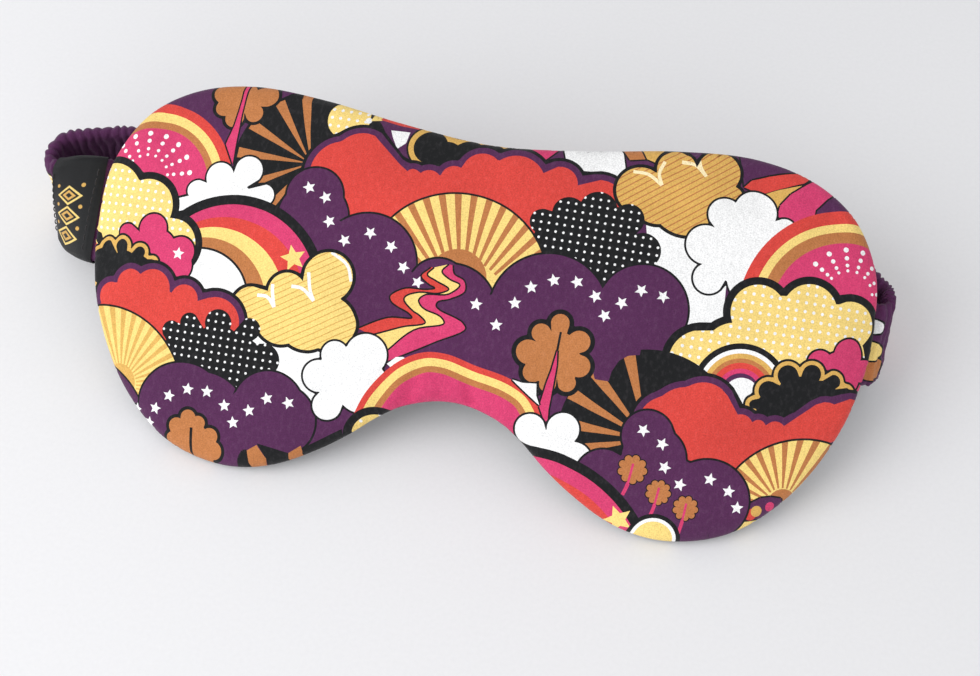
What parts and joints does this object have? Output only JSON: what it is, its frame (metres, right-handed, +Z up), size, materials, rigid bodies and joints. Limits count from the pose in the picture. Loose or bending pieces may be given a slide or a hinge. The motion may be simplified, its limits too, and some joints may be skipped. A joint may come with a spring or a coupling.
{
  "type": "sleep mask",
  "caption": "Padded two-lobed sleep mask in short-pile printed velour, with a gathered fabric-covered elastic strap sewn into both side seams.",
  "frame": {"origin": "bottom centre of the object's bounding box, on the surface the mask lies on", "axes": "+X along the mask's width to the end without the label, +Y from the lobes' lower edge towards the strap behind, +Z up"},
  "size_m": [0.2376, 0.0954, 0.0487],
  "materials": {
    "printed_velour": "short-pile printed velour, matt with a soft sheen",
    "casing_velour": "gathered printed velour, matt",
    "lining": "soft woven lining, low sheen",
    "wadding": "bonded polyester wadding",
    "elastic_band": "knitted elastic",
    "label_weave": "damask-woven ribbon",
    "thread": "spun polyester thread"
  },
  "bodies": {
    "mask": {"front_panel": "printed_velour", "foam_pad": "wadding", "blackout_liner": "lining", "back_panel": "lining", "seam_thread": "thread", "left_bar_tack": "thread", "right_bar_tack": "thread"},
    "strap_ends": {"casing_left_end": "casing_velour", "elastic_left_end": "elastic_band", "casing_right_end": "casing_velour", "elastic_right_end": "elastic_band", "label": "label_weave", "label_stitch_near": "thread", "label_stitch_far": "thread"},
    "strap_back": {"casing_back": "casing_velour", "elastic_back": "elastic_band"}
  },
  "joints": [
    {"name": "strap_swing", "type": "hinge", "parent": "mask", "child": "strap_ends", "pos_m": [0.00702, 0.01113, 0.0248], "axis": [1, 0, 0], "range_deg": [-75, 0], "deforming": ["casing_left_end", "elastic_left_end", "casing_right_end", "elastic_right_end", "label", "label_stitch_near", "label_stitch_far"]},
    {"name": "strap_stretch", "type": "slide", "parent": "strap_ends", "child": "strap_back", "axis": [0, 1, 0], "range_m": [0, 0.1], "stiffness_N_per_m": 20}
  ]
}
